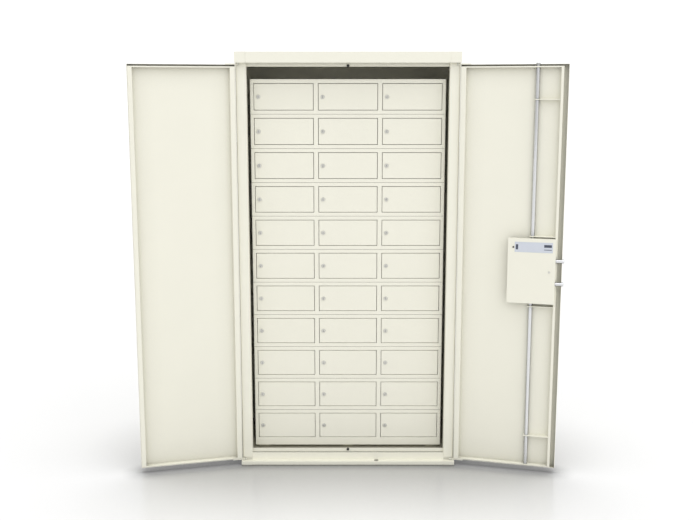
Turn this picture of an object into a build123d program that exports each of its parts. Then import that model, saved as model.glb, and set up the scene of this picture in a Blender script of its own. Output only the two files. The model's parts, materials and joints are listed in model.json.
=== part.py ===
"""Two-door steel charging cabinet with a bank of small locked compartments.

Frame: X across the front, Y towards the back, Z up, millimetres.  The origin is on the
floor, under the middle of the front posts' face.  Both cabinet doors are modelled open.
"""
import os

from build123d import *

os.makedirs("parts", exist_ok=True)

# cabinet
WIDTH = 1000.0
HEIGHT = 1905.0
DEPTH = 500.0
SHEET = 2.0
POST_IN = 451.0  # inner face of a front post, from the middle
POST_OUT = 495.0  # its outer face, set in so that the open door clears it
POST_DEEP = 40.0
RAIL_LOW = 1857.0  # underside of the top rail
SILL_HIGH = 18.0
PLINTH_HIGH = 52.0
FLOOR_TOP = 50.0
FOOT_HIGH = 30.0
SIDE_FRONT = 22.0  # front edge of the side panels
LIP_Y = 12.0
TOP_LIP = (1841.0, HEIGHT - SHEET)
LOW_LIP = (FLOOR_TOP, 68.0)
BUFFER_Z = (TOP_LIP[0] + 4.0, LOW_LIP[1] - 4.0)
BUFFER_R = 6.0
BUFFER_STEM_R = 3.0
BUFFER_PROUD = 7.0  # rubber buffer, in front of its lip
STEM_PROUD = 2.0  # and its stem behind the lip
CUT = 1.0  # how far a cutting shape runs past the face that it cuts

# back panel: mains inlet and ventilation slots
INLET_X = 380.0
INLET_Z = 130.0
INLET_SIZE = (50.0, 30.0)
INLET_DEEP = 30.0
INLET_FLANGE = (8.0, 4.0, 3.0)  # past the body at the side, above, and its thickness
SOCKET_HALF = (12.0, 8.0)
SOCKET_DEEP = 18.0
VENT_X = 250.0
VENT_Z = (640.0, 1600.0)  # lowest slot of each set
VENT_COUNT = 8
VENT_PITCH = 18.0
VENT_SIZE = (70.0, 5.0)

# cabinet doors, in their closed place
DOOR_DEEP = 27.0
DOOR_FRONT = -28.0
DOOR_BACK = DOOR_FRONT + DOOR_DEEP
DOOR_IN = 1.0
DOOR_OUT = 470.0
DOOR_LOW = 25.0
DOOR_HIGH = 1850.0
SKIN = 1.5
HINGE_X = 483.0
HINGE_Y = -6.0
PIN_R = 3.0
PIN_ENTRY = (-2.0, 1.0)  # end of the upper and the lower pin, past the leaf's edges
RUN_FIT = 0.05
ARM_R = 5.4
ARM_THICK = 4.0
ARM_LONG = 60.0
OPEN_ANGLE = 165.7
HINGE_LIP = 22.0
TOP_GROOVE = 7.0
TOP_LIP_WIDE = 6.0
LOW_LIP_WIDE = 5.0
EDGE_RETURN = 6.0  # flange along the right leaf's free edge
NEST = 0.2  # inner frame, clear of the tray around it
# (free edge lip width, free edge groove width) of each leaf
EDGES = {"left": (20.0, 0.0), "right": (12.0, 15.0)}

# bolt work on the right-hand door, closed place
ROD_X = 134.0
ROD_Y = -13.5
ROD_R = 9.0
ROD_TIP_GAP = 2.2  # drawn rod to the rail or sill
ROD_THROW = 16.0
ROD_CHAMFER = 1.5
ROD_INSIDE = 60.0  # how far each rod runs into the lock box
ROD_CLEAR = 0.5
KEEP_CLEAR = 2.0  # rod in the rail's and the sill's holes
GUIDE_Z = (169.0, 779.0, 1097.0, 1699.0)
GUIDE_THICK = 4.0
GUIDE_X = (34.8, 148.0)
LOCK_X = (29.0, 239.0)
LOCK_Z = (797.0, 1090.0)
LOCK_PROUD = 21.0
LOCK_WALL = 1.5
LOCK_BACK = DOOR_BACK + LOCK_PROUD
STRIP_X = (42.0, 209.0)
STRIP_Z = (1029.0, 1075.0)
STRIP_THICK = 1.0
STUDS = ((215.0, 1051.0, 4.0), (55.0, 943.0, 5.0))  # X, Z and radius
STUD_PROUD = 3.0
CASE_X = (60.0, 110.0)
CASE_Z = (860.0, 1020.0)
CASE_PROUD = 2.0
BOLT_R = 8.75
BOLT_FIT = 0.3
BOLT_Z = (889.0, 992.0)
BOLT_Y = DOOR_BACK + 10.0
BOLT_TIP_X = -8.0
BOLT_END_X = 78.0
DRAW_BAR = (4.0, 1.0, 6.0)  # bar that joins the deadbolts: width, and depth each way
HANDLE_X = 84.0
HANDLE_Z = 944.0
SPINDLE_R = 5.0
ROSE_R = 26.0
ROSE_PROUD = 8.0
HUB_R = 12.0
HUB_OUT = (9.0, 34.0)  # hub, from and to this far in front of the door
LEVER_LONG = 115.0
LEVER_HALF = 9.0
LEVER_THICK = 12.0
LEVER_ROUND = 6.0

# compartments
COLUMNS = 3
ROWS = 11
CELL_WIDE = 269.8
CELL_HIGH = 120.3
COLUMN_PITCH = 289.8
ROW_PITCH = 154.4
TOP_CELL = 1769.2  # top of the highest compartment door
BANK_HALF = 440.2
BANK_LOW = 67.3
BANK_HIGH = 1787.3
BANK_FRONT = 60.0
BANK_BACK = 410.0
WALL = 1.2
FACE_DEEP = 14.0
GAP = 0.8
LEAF_DEEP = 12.0
LEAF_Y = BANK_FRONT + 0.5
CELL_PIN_R = 1.5
PIN_IN_X = 4.8  # hinge line, from the opening's right-hand side
PIN_IN_Y = 2.6  # and from the leaf's face
PIN_REACH = 4.0
LEAF_ROUND = 3.5  # folded edge on the hinge side
PIN_ROOT = 3.0  # leaf's pin inside the leaf, and its clearance at the tip
PIN_TIP = 1.0
LOCK_R = 9.5
LOCK_OUT = 3.5
LOCK_BARREL_R = 7.0
LOCK_DEEP = 10.0
LOCK_ROUND = 1.2
KEYWAY = (1.6, 8.0)
KEYWAY_DEEP = 1.5
LOCK_SIDE = 20.0  # cam lock, from the leaf's free edge

# inside the bank
FOOT_HALF = 25.0
FOOT_IN = 40.0
FOOT_BACK = 60.0
PORT = (46.0, 14.0, 24.0)
PORT_ABOVE = 30.0  # from the bottom of its compartment
PORT_SLOT = (13.0, 9.0, 6.0)
PORT_SLOT_SHIFT = 11.0
PORT_SLOT_LOW = 9.0
DUCT_HALF = 30.0
DUCT_DEEP = 30.0
DUCT_WALL = 1.5
DUCT_ENDS = (90.0, BANK_HIGH - 20.0)
SUPPLY_HALF = 60.0
SUPPLY_DEEP = 35.0
SUPPLY_Z = (300.0, 520.0)


def save(piece, name):
    """Label a finished piece and write it as the node of that name."""
    piece.part.label = name
    export_step(piece.part, f"parts/{name}.step")


def save_group(name, *pieces):
    """Write several finished pieces, each its own solid, as one node."""
    solids = [solid for piece in pieces for solid in piece.part.solids()]
    export_step(Compound(label=name, children=solids), f"parts/{name}.step")


def box_between(low, high, mode=Mode.ADD):
    """Extrude a rectangle between two opposite corners inside the open part."""
    middle = [(a + b) / 2 for a, b in zip(low, high)]
    with BuildSketch(Plane.XY.offset(low[2])) as outline:
        with Locations((middle[0], middle[1])):
            Rectangle(high[0] - low[0], high[1] - low[1])
    extrude(outline.sketch, amount=high[2] - low[2], mode=mode)


def rod_between(start, end, radius, mode=Mode.ADD):
    """Extrude a circle from one point to another along one of the axes."""
    way = Vector(*end) - Vector(*start)
    with BuildSketch(Plane(origin=start, z_dir=way)) as outline:
        Circle(radius)
    extrude(outline.sketch, amount=way.length, mode=mode)


def open_out(part, side):
    """Turn a closed door's piece about its hinge line to the open place."""
    line = Axis((side * HINGE_X, HINGE_Y, 0), (0, 0, 1))
    return part.rotate(line, side * OPEN_ANGLE)


def save_open(name, side, *pieces):
    """Write a door's pieces in their open place, each its own solid, as one node."""
    solids = [solid for piece in pieces for solid in open_out(piece.part, side).solids()]
    export_step(Compound(label=name, children=solids), f"parts/{name}.step")


# ---- cabinet shell -----------------------------------------------------------------
with BuildPart() as front_posts:
    for side in (-1, 1):
        inner, outer = sorted((side * POST_IN, side * POST_OUT))
        box_between((inner, 0, FOOT_HIGH), (outer, POST_DEEP, RAIL_LOW))
        box_between(
            (inner + SHEET, SHEET, FOOT_HIGH), (outer - SHEET, POST_DEEP - SHEET, RAIL_LOW),
            Mode.SUBTRACT)
save(front_posts, "front_posts")

with BuildPart() as side_panels:
    for side in (-1, 1):
        flat, edge = sorted((side * (WIDTH / 2 - SHEET), side * WIDTH / 2))
        box_between((flat, SIDE_FRONT, 0), (edge, DEPTH, HEIGHT))
save(side_panels, "side_panels")

SHELL_HALF = WIDTH / 2 - SHEET
inlet_low, inlet_high = INLET_Z - INLET_SIZE[1] / 2, INLET_Z + INLET_SIZE[1] / 2
inlet_left, inlet_right = INLET_X - INLET_SIZE[0] / 2, INLET_X + INLET_SIZE[0] / 2

with BuildPart() as back_panel:
    box_between((-SHELL_HALF, DEPTH - SHEET, 0), (SHELL_HALF, DEPTH, HEIGHT - SHEET))
    box_between(
        (inlet_left, DEPTH - SHEET - CUT, inlet_low), (inlet_right, DEPTH + CUT, inlet_high),
        Mode.SUBTRACT)
    for x in (-VENT_X, VENT_X):
        for foot in VENT_Z:
            for i in range(VENT_COUNT):
                z = foot + i * VENT_PITCH
                box_between(
                    (x - VENT_SIZE[0] / 2, DEPTH - SHEET - CUT, z - VENT_SIZE[1] / 2),
                    (x + VENT_SIZE[0] / 2, DEPTH + CUT, z + VENT_SIZE[1] / 2), Mode.SUBTRACT)
save(back_panel, "back_panel")

with BuildPart() as roof_panel:
    box_between((-SHELL_HALF, 0, HEIGHT - SHEET), (SHELL_HALF, DEPTH, HEIGHT))
save(roof_panel, "roof_panel")

with BuildPart() as floor_panel:
    box_between((-SHELL_HALF, POST_DEEP, FLOOR_TOP - SHEET), (SHELL_HALF, DEPTH - SHEET, FLOOR_TOP))
save(floor_panel, "floor_panel")

with BuildPart() as top_rail:
    box_between((-POST_IN, DOOR_FRONT, RAIL_LOW), (POST_IN, 0, HEIGHT))
    box_between(
        (-POST_IN, DOOR_FRONT + SHEET, RAIL_LOW + SHEET), (POST_IN, -SHEET, HEIGHT - SHEET),
        Mode.SUBTRACT)
    rod_between(
        (ROD_X, ROD_Y, RAIL_LOW - CUT), (ROD_X, ROD_Y, RAIL_LOW + SHEET + CUT),
        ROD_R + KEEP_CLEAR, Mode.SUBTRACT)
save(top_rail, "top_rail")

with BuildPart() as sill:
    box_between((-POST_IN, DOOR_FRONT, 0), (POST_IN, SHEET, SILL_HIGH))
    rod_between(
        (ROD_X, ROD_Y, SHEET), (ROD_X, ROD_Y, SILL_HIGH + CUT), ROD_R + KEEP_CLEAR,
        Mode.SUBTRACT)

with BuildPart() as plinth:
    box_between((-POST_IN, 0, SILL_HIGH), (POST_IN, SHEET, PLINTH_HIGH))
    box_between((-POST_IN, SHEET, FLOOR_TOP), (POST_IN, LIP_Y, PLINTH_HIGH))
save_group("sill_and_plinth", sill, plinth)

with BuildPart() as frame_lips:
    for low, high in (TOP_LIP, LOW_LIP):
        box_between((-POST_IN, LIP_Y, low), (POST_IN, LIP_Y + SHEET, high))
    for rest in BUFFER_Z:
        rod_between(
            (0, LIP_Y - CUT, rest), (0, LIP_Y + SHEET + CUT, rest), BUFFER_STEM_R,
            Mode.SUBTRACT)

with BuildPart() as door_buffers:
    for rest in BUFFER_Z:
        rod_between((0, LIP_Y - BUFFER_PROUD, rest), (0, LIP_Y, rest), BUFFER_R)
        rod_between((0, LIP_Y, rest), (0, LIP_Y + SHEET + STEM_PROUD, rest), BUFFER_STEM_R)
save_group("frame_lips", frame_lips, door_buffers)

with BuildPart() as corner_blocks:
    for side in (-1, 1):
        inner, outer = sorted((side * POST_IN, side * WIDTH / 2))
        box_between((inner, DOOR_FRONT, RAIL_LOW), (outer, SIDE_FRONT, HEIGHT - SHEET))
        box_between((inner, DOOR_FRONT, HEIGHT - SHEET), (outer, 0, HEIGHT))
        box_between((inner, DOOR_FRONT, 0), (outer, SIDE_FRONT, SILL_HIGH))
        inner, outer = sorted((side * POST_IN, side * POST_OUT))
        box_between((inner, 0, SILL_HIGH), (outer, SIDE_FRONT, FOOT_HIGH))
save(corner_blocks, "corner_blocks")

with BuildPart() as hinge_pins:
    for side in (-1, 1):
        at = (side * HINGE_X, HINGE_Y)
        for start, end in ((RAIL_LOW, DOOR_HIGH + PIN_ENTRY[0]),
                           (SILL_HIGH, DOOR_LOW + PIN_ENTRY[1])):
            rod_between((*at, start), (*at, end), PIN_R)
save(hinge_pins, "hinge_pins")

# ---- cabinet doors -----------------------------------------------------------------
def door_span(side, near, far):
    """Sort two distances from the middle into a left and a right X."""
    return sorted((side * near, side * far))


for side, word in ((-1, "left"), (1, "right")):
    lip_wide, groove = EDGES[word]
    x0, x1 = door_span(side, DOOR_IN, DOOR_OUT)
    with BuildPart() as tray:
        box_between((x0, DOOR_FRONT, DOOR_LOW), (x1, DOOR_BACK, DOOR_HIGH))
        box_between(
            (x0 + SKIN, DOOR_FRONT + SKIN, DOOR_LOW + SKIN),
            (x1 - SKIN, DOOR_BACK + CUT, DOOR_HIGH - SKIN), Mode.SUBTRACT)
        if groove:
            box_between(
                (x0, DOOR_BACK - SKIN, DOOR_LOW), (x0 + EDGE_RETURN, DOOR_BACK, DOOR_HIGH))
            for low, high in ((DOOR_LOW - CUT, DOOR_LOW + SKIN + CUT),
                              (DOOR_HIGH - SKIN - CUT, DOOR_HIGH + CUT)):
                rod_between(
                    (ROD_X, ROD_Y, low), (ROD_X, ROD_Y, high), ROD_R + ROD_CLEAR, Mode.SUBTRACT)
            rod_between(
                (HANDLE_X, DOOR_FRONT - CUT, HANDLE_Z),
                (HANDLE_X, DOOR_FRONT + SKIN + CUT, HANDLE_Z), SPINDLE_R + SKIN, Mode.SUBTRACT)
    save_open(f"{word}_door_skin", side, tray)

    # pressed frame of folded channel inside the tray
    near = DOOR_IN + SKIN + NEST + (groove + EDGE_RETURN - CUT if groove else 0.0)
    a0, a1 = door_span(side, near, DOOR_OUT - SKIN - NEST)
    b0, b1 = door_span(side, near + lip_wide, DOOR_OUT - SKIN - HINGE_LIP)
    low, high = DOOR_LOW + SKIN + NEST, DOOR_HIGH - SKIN - TOP_GROOVE
    win_low, win_high = low + LOW_LIP_WIDE, high - TOP_LIP_WIDE
    with BuildPart() as hollow:
        box_between(
            (a0 + SKIN, DOOR_FRONT, low + SKIN), (a1 - SKIN, DOOR_BACK - SKIN, high - SKIN))
        box_between(
            (b0 - SKIN, DOOR_FRONT - CUT, win_low - SKIN),
            (b1 + SKIN, DOOR_BACK, win_high + SKIN), Mode.SUBTRACT)
    with BuildPart() as inner_frame:
        box_between((a0, DOOR_FRONT + SKIN, low), (a1, DOOR_BACK, high))
        box_between((b0, DOOR_FRONT, win_low), (b1, DOOR_BACK + CUT, win_high), Mode.SUBTRACT)
        add(hollow.part, mode=Mode.SUBTRACT)
        if groove:
            for start, end in ((low - CUT, win_low + CUT), (win_high - CUT, high + CUT)):
                rod_between(
                    (ROD_X, ROD_Y, start), (ROD_X, ROD_Y, end), ROD_R + ROD_CLEAR,
                    Mode.SUBTRACT)

    with BuildPart() as arms:
        for z0 in (DOOR_HIGH, DOOR_LOW - ARM_THICK):
            with BuildSketch(Plane.XY.offset(z0)) as plate:
                with Locations((side * HINGE_X, HINGE_Y)):
                    Circle(ARM_R)
                with Locations((side * (HINGE_X - ARM_LONG / 2), HINGE_Y)):
                    Rectangle(ARM_LONG, 2 * ARM_R)
                with Locations((side * HINGE_X, HINGE_Y)):
                    Circle(PIN_R + RUN_FIT, mode=Mode.SUBTRACT)
            extrude(plate.sketch, amount=ARM_THICK)
    save_open(f"{word}_door_inner_frame", side, inner_frame, arms)

# ---- bolt work ---------------------------------------------------------------------
with BuildPart() as lock_box:
    box_between((LOCK_X[0], DOOR_BACK, LOCK_Z[0]), (LOCK_X[1], LOCK_BACK, LOCK_Z[1]))
    box_between(
        (LOCK_X[0] + LOCK_WALL, DOOR_BACK - CUT, LOCK_Z[0] + LOCK_WALL),
        (LOCK_X[1] - LOCK_WALL, LOCK_BACK - LOCK_WALL, LOCK_Z[1] - LOCK_WALL), Mode.SUBTRACT)
    for z in BOLT_Z:
        rod_between(
            (LOCK_X[0] - CUT, BOLT_Y, z), (LOCK_X[0] + LOCK_WALL + CUT, BOLT_Y, z),
            BOLT_R + BOLT_FIT, Mode.SUBTRACT)

with BuildPart() as lock_strip:
    box_between(
        (STRIP_X[0], LOCK_BACK, STRIP_Z[0]), (STRIP_X[1], LOCK_BACK + STRIP_THICK, STRIP_Z[1]))

with BuildPart() as lock_fixings:
    for x, z, radius in STUDS:
        rod_between((x, LOCK_BACK, z), (x, LOCK_BACK + STUD_PROUD, z), radius)
save_open("lock_box_cover", 1, lock_box, lock_strip, lock_fixings)

with BuildPart() as lock_case:
    box_between(
        (CASE_X[0], DOOR_FRONT + SKIN, CASE_Z[0]), (CASE_X[1], DOOR_BACK + CASE_PROUD, CASE_Z[1]))
    rod_between(
        (HANDLE_X, DOOR_FRONT, HANDLE_Z), (HANDLE_X, DOOR_BACK + CASE_PROUD + CUT, HANDLE_Z),
        SPINDLE_R + RUN_FIT, Mode.SUBTRACT)
    for z in BOLT_Z:
        rod_between(
            (CASE_X[0] - CUT, BOLT_Y, z), (CASE_X[1] + CUT, BOLT_Y, z), BOLT_R + BOLT_FIT,
            Mode.SUBTRACT)

with BuildPart() as deadbolts:
    for z in BOLT_Z:
        rod_between((BOLT_TIP_X, BOLT_Y, z), (BOLT_END_X, BOLT_Y, z), BOLT_R)
    chamfer(deadbolts.edges().filter_by(GeomType.CIRCLE).group_by(Axis.X)[0], ROD_CHAMFER)
    box_between(
        (BOLT_END_X - DRAW_BAR[0], BOLT_Y - DRAW_BAR[1], BOLT_Z[0]),
        (BOLT_END_X, BOLT_Y + DRAW_BAR[2], BOLT_Z[1]))
save_open("deadbolts", 1, deadbolts)

for word, start, end in (("upper", LOCK_Z[1] - ROD_INSIDE, RAIL_LOW - ROD_TIP_GAP),
                         ("lower", LOCK_Z[0] + ROD_INSIDE, SILL_HIGH + ROD_TIP_GAP)):
    with BuildPart() as rod:
        rod_between((ROD_X, ROD_Y, start), (ROD_X, ROD_Y, end), ROD_R)
        chamfer(rod.edges().filter_by(GeomType.CIRCLE), ROD_CHAMFER)
    save_open(f"{word}_bolt_rod", 1, rod)

with BuildPart() as rod_guides:
    for z in GUIDE_Z:
        box_between(
            (GUIDE_X[0], DOOR_FRONT + SKIN, z - GUIDE_THICK / 2),
            (GUIDE_X[1], DOOR_BACK, z + GUIDE_THICK / 2))
        rod_between(
            (ROD_X, ROD_Y, z - GUIDE_THICK), (ROD_X, ROD_Y, z + GUIDE_THICK), ROD_R + RUN_FIT,
            Mode.SUBTRACT)
save_open("rod_guides", 1, rod_guides)

with BuildPart() as handle_rose:
    rod_between(
        (HANDLE_X, DOOR_FRONT, HANDLE_Z), (HANDLE_X, DOOR_FRONT - ROSE_PROUD, HANDLE_Z), ROSE_R)
    rod_between(
        (HANDLE_X, DOOR_FRONT + CUT, HANDLE_Z),
        (HANDLE_X, DOOR_FRONT - ROSE_PROUD - CUT, HANDLE_Z), SPINDLE_R + RUN_FIT, Mode.SUBTRACT)
save_open("lock_case", 1, lock_case, handle_rose)

hub_near, hub_far = DOOR_FRONT - HUB_OUT[0], DOOR_FRONT - HUB_OUT[1]
with BuildPart() as handle:
    rod_between(
        (HANDLE_X, DOOR_BACK + CASE_PROUD - CUT, HANDLE_Z), (HANDLE_X, hub_far + CUT, HANDLE_Z),
        SPINDLE_R)
    rod_between((HANDLE_X, hub_near, HANDLE_Z), (HANDLE_X, hub_far, HANDLE_Z), HUB_R)
    box_between(
        (HANDLE_X - LEVER_HALF, hub_far, HANDLE_Z - LEVER_HALF),
        (HANDLE_X + LEVER_LONG, hub_far + LEVER_THICK, HANDLE_Z + LEVER_HALF))
    fillet(handle.edges().filter_by(Axis.Y).group_by(Axis.X)[-1], LEVER_ROUND)
save_open("door_handle", 1, handle)

# ---- compartment bank --------------------------------------------------------------
columns = [(c - (COLUMNS - 1) / 2) * COLUMN_PITCH for c in range(COLUMNS)]
cell_tops = [TOP_CELL - r * ROW_PITCH for r in range(ROWS)]
half = CELL_WIDE / 2
stile = COLUMN_PITCH - CELL_WIDE
body_front = BANK_FRONT + FACE_DEEP

with BuildPart() as bank_sides:
    for side in (-1, 1):
        a, b = sorted((side * BANK_HALF, side * (BANK_HALF - WALL)))
        box_between((a, body_front, BANK_LOW), (b, BANK_BACK, BANK_HIGH))

with BuildPart() as bank_dividers:
    for x in (-COLUMN_PITCH / 2, COLUMN_PITCH / 2):
        box_between(
            (x - WALL / 2, body_front, BANK_LOW + WALL), (x + WALL / 2, BANK_BACK, BANK_HIGH - WALL))

inner_edges = [-BANK_HALF + WALL, -COLUMN_PITCH / 2, COLUMN_PITCH / 2, BANK_HALF - WALL]
with BuildPart() as bank_shelves:
    for c in range(COLUMNS):
        left = inner_edges[c] + (WALL / 2 if c else 0)
        right = inner_edges[c + 1] - (WALL / 2 if c < COLUMNS - 1 else 0)
        for top in cell_tops[:-1]:
            z = top - CELL_HIGH - (ROW_PITCH - CELL_HIGH) / 2
            box_between((left, body_front, z - WALL / 2), (right, BANK_BACK, z + WALL / 2))

with BuildPart() as bank_lids:
    inner = BANK_HALF - WALL
    box_between((-inner, body_front, BANK_HIGH - WALL), (inner, BANK_BACK, BANK_HIGH))
    box_between((-inner, body_front, BANK_LOW), (inner, BANK_BACK, BANK_LOW + WALL))

with BuildPart() as bank_back:
    box_between((-BANK_HALF, BANK_BACK, BANK_LOW), (BANK_HALF, BANK_BACK + WALL, BANK_HIGH))

rail_high = ROW_PITCH - CELL_HIGH
with BuildPart() as face_rails:
    for top in cell_tops:
        upper = BANK_HIGH if top == TOP_CELL else top + rail_high / 2 - GAP / 2
        box_between((-BANK_HALF, BANK_FRONT, top), (BANK_HALF, body_front, upper))
        under = top - CELL_HIGH
        lower = BANK_LOW if top == cell_tops[-1] else under - rail_high / 2 + GAP / 2
        box_between((-BANK_HALF, BANK_FRONT, lower), (BANK_HALF, body_front, under))
        for x in columns:
            for start, end in ((top, top + PIN_REACH), (under, under - PIN_REACH)):
                at = (x + half - PIN_IN_X, LEAF_Y + PIN_IN_Y)
                rod_between((*at, start), (*at, end), CELL_PIN_R + RUN_FIT, Mode.SUBTRACT)

with BuildPart() as face_stiles:
    for top in cell_tops:
        bottom = top - CELL_HIGH
        for x in (-COLUMN_PITCH / 2, COLUMN_PITCH / 2):
            box_between((x - stile / 2, BANK_FRONT, bottom), (x + stile / 2, body_front, top))
        for side in (-1, 1):
            a, b = sorted((side * BANK_HALF, side * (COLUMN_PITCH + half)))
            box_between((a, BANK_FRONT, bottom), (b, body_front, top))
save_group("bank_face_frame", face_rails, face_stiles)

with BuildPart() as bank_feet:
    for x in (FOOT_IN - BANK_HALF, 0, BANK_HALF - FOOT_IN):
        for y in (BANK_FRONT + FOOT_BACK, BANK_BACK - FOOT_IN):
            box_between(
                (x - FOOT_HALF, y - FOOT_HALF, FLOOR_TOP), (x + FOOT_HALF, y + FOOT_HALF, BANK_LOW))
save_group(
    "bank_carcass", bank_sides, bank_dividers, bank_shelves, bank_lids, bank_back, bank_feet)

port_face = BANK_BACK - PORT[1]
with BuildPart() as ports:
    for x in columns:
        for top in cell_tops:
            z = top - CELL_HIGH + PORT_ABOVE
            box_between(
                (x - PORT[0] / 2, port_face, z), (x + PORT[0] / 2, BANK_BACK, z + PORT[2]))
            for shift in (-PORT_SLOT_SHIFT, PORT_SLOT_SHIFT):
                left, low = x + shift - PORT_SLOT[0] / 2, z + PORT_SLOT_LOW
                box_between(
                    (left, port_face - CUT, low),
                    (left + PORT_SLOT[0], port_face + PORT_SLOT[1] - CUT, low + PORT_SLOT[2]),
                    Mode.SUBTRACT)
save(ports, "charging_ports")

duct_front = BANK_BACK + WALL
duct_back = duct_front + DUCT_DEEP
with BuildPart() as ducts:
    for x in columns:
        left, right = x - DUCT_HALF, x + DUCT_HALF
        box_between((left, duct_front, DUCT_ENDS[0]), (right, duct_back, DUCT_ENDS[1]))
        box_between(
            (left + DUCT_WALL, duct_front + DUCT_WALL, DUCT_ENDS[0] - CUT),
            (right - DUCT_WALL, duct_back - DUCT_WALL, DUCT_ENDS[1] + CUT), Mode.SUBTRACT)
save(ducts, "cable_ducts")

with BuildPart() as supplies:
    for x in columns:
        box_between(
            (x - SUPPLY_HALF, duct_back, SUPPLY_Z[0]),
            (x + SUPPLY_HALF, duct_back + SUPPLY_DEEP, SUPPLY_Z[1]))
save(supplies, "power_supplies")

# the inlet's flange lies inside the back panel, so nothing stands out of the cabinet's back
side_reach, high_reach, flange_thick = INLET_FLANGE
with BuildPart() as inlet:
    box_between((inlet_left, DEPTH - INLET_DEEP, inlet_low), (inlet_right, DEPTH, inlet_high))
    box_between(
        (inlet_left - side_reach, DEPTH - SHEET - flange_thick, inlet_low - high_reach),
        (inlet_right + side_reach, DEPTH - SHEET, inlet_high + high_reach))
    box_between(
        (INLET_X - SOCKET_HALF[0], DEPTH - SOCKET_DEEP, INLET_Z - SOCKET_HALF[1]),
        (INLET_X + SOCKET_HALF[0], DEPTH + CUT, INLET_Z + SOCKET_HALF[1]), Mode.SUBTRACT)
save(inlet, "mains_inlet")

# ---- compartment doors: folded leaf, cam lock and hinge pin in each --------------------
for r, top in enumerate(cell_tops):
    for c, x in enumerate(columns):
        low = (x - half + GAP, LEAF_Y, top - CELL_HIGH + GAP)
        high = (x + half - GAP, LEAF_Y + LEAF_DEEP, top - GAP)
        lock_x = low[0] + LOCK_SIDE
        mid = top - CELL_HIGH / 2
        at = (x + half - PIN_IN_X, LEAF_Y + PIN_IN_Y)
        with BuildPart() as leaf:
            box_between(low, high)
            box_between(
                (low[0] + WALL, low[1] + WALL, low[2] + WALL),
                (high[0] - WALL, high[1] + CUT, high[2] - WALL), Mode.SUBTRACT)
            fillet(leaf.edges().filter_by(Axis.Z).sort_by(
                lambda e: (e.center().Y, -e.center().X))[0], LEAF_ROUND)
            rod_between(
                (lock_x, low[1] - CUT, mid), (lock_x, low[1] + WALL + CUT, mid), LOCK_BARREL_R,
                Mode.SUBTRACT)
            for start, end in ((high[2] - PIN_ROOT, top + PIN_REACH - PIN_TIP),
                               (low[2] + PIN_ROOT, top - CELL_HIGH - PIN_REACH + PIN_TIP)):
                rod_between((*at, start), (*at, end), CELL_PIN_R)
        with BuildPart() as lock:
            rod_between((lock_x, LEAF_Y - LOCK_OUT, mid), (lock_x, LEAF_Y, mid), LOCK_R)
            rod_between((lock_x, LEAF_Y, mid), (lock_x, LEAF_Y + LOCK_DEEP, mid), LOCK_BARREL_R)
            fillet(lock.edges().filter_by(GeomType.CIRCLE).group_by(Axis.Y)[0], LOCK_ROUND)
            box_between(
                (lock_x - KEYWAY[0] / 2, LEAF_Y - LOCK_OUT - CUT, mid - KEYWAY[1] / 2),
                (lock_x + KEYWAY[0] / 2, LEAF_Y - LOCK_OUT + KEYWAY_DEEP, mid + KEYWAY[1] / 2),
                Mode.SUBTRACT)
        save_group(f"locker_door_r{r + 1:02d}_c{c + 1}", leaf, lock)
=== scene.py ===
"""Looks of a two-door steel charging cabinet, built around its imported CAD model.

Units are metres in the CAD model's own frame: X across the front, Y towards the back,
Z up.  Each sub-assembly is a class that models its pieces and dresses them.
"""

import json
import logging
import math
from dataclasses import dataclass
from enum import Enum
from typing import Any, Callable

import bmesh
import bpy
from mathutils import Matrix, Vector


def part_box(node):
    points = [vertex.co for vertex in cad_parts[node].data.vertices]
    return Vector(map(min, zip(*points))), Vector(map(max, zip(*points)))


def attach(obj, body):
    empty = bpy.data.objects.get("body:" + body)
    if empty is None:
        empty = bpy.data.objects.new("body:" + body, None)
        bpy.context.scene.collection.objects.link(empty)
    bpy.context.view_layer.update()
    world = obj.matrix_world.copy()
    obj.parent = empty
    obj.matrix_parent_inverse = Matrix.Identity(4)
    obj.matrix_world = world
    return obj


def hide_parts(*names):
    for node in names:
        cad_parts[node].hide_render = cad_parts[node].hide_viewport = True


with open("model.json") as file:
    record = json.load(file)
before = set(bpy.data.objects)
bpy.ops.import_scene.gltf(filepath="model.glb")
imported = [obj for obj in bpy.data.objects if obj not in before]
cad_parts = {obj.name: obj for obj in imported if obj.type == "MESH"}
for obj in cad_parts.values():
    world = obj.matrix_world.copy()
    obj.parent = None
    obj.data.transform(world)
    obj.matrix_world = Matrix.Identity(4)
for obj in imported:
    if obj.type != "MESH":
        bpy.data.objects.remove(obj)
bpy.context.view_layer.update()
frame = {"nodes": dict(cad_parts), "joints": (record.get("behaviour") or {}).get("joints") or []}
MM = 0.001
PAST = 10.0 * MM  # how far a cutting tool reaches past the piece that it cuts
SMOOTH_UNDER = math.radians(32)
log = logging.getLogger("charging_cabinet")
Span = tuple[float, float]
Test = Callable[[Vector, Vector], bool]


# ---- finishes ------------------------------------------------------------------------
def linear(colour: str) -> tuple[float, float, float, float]:
    """Turn an sRGB hex colour into linear RGBA.

    Args:
        colour: six hex digits, without a hash.

    Returns:
        Linear red, green, blue and an alpha of one.
    """
    parts = [int(colour[i:i + 2], 16) / 255 for i in (0, 2, 4)]
    low, high = [p / 12.92 for p in parts], [((p + 0.055) / 1.055) ** 2.4 for p in parts]
    r, g, b = [a if p <= 0.04045 else c for p, a, c in zip(parts, low, high)]
    return r, g, b, 1.0


def add_node(tree: Any, kind: str, inputs: dict[Any, Any], **settings: Any) -> Any:
    """Add one shader node.

    Args:
        tree: the node tree.
        kind: the node's Blender type name.
        inputs: input name or number to a value, or to the output socket it is fed from.
        settings: the node's own properties.

    Returns:
        The new node.
    """
    node = tree.nodes.new(kind)
    for name, value in settings.items():
        setattr(node, name, value)
    for key, value in inputs.items():
        if isinstance(value, bpy.types.NodeSocket):
            tree.links.new(value, node.inputs[key])
        else:
            node.inputs[key].default_value = value
    return node


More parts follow.
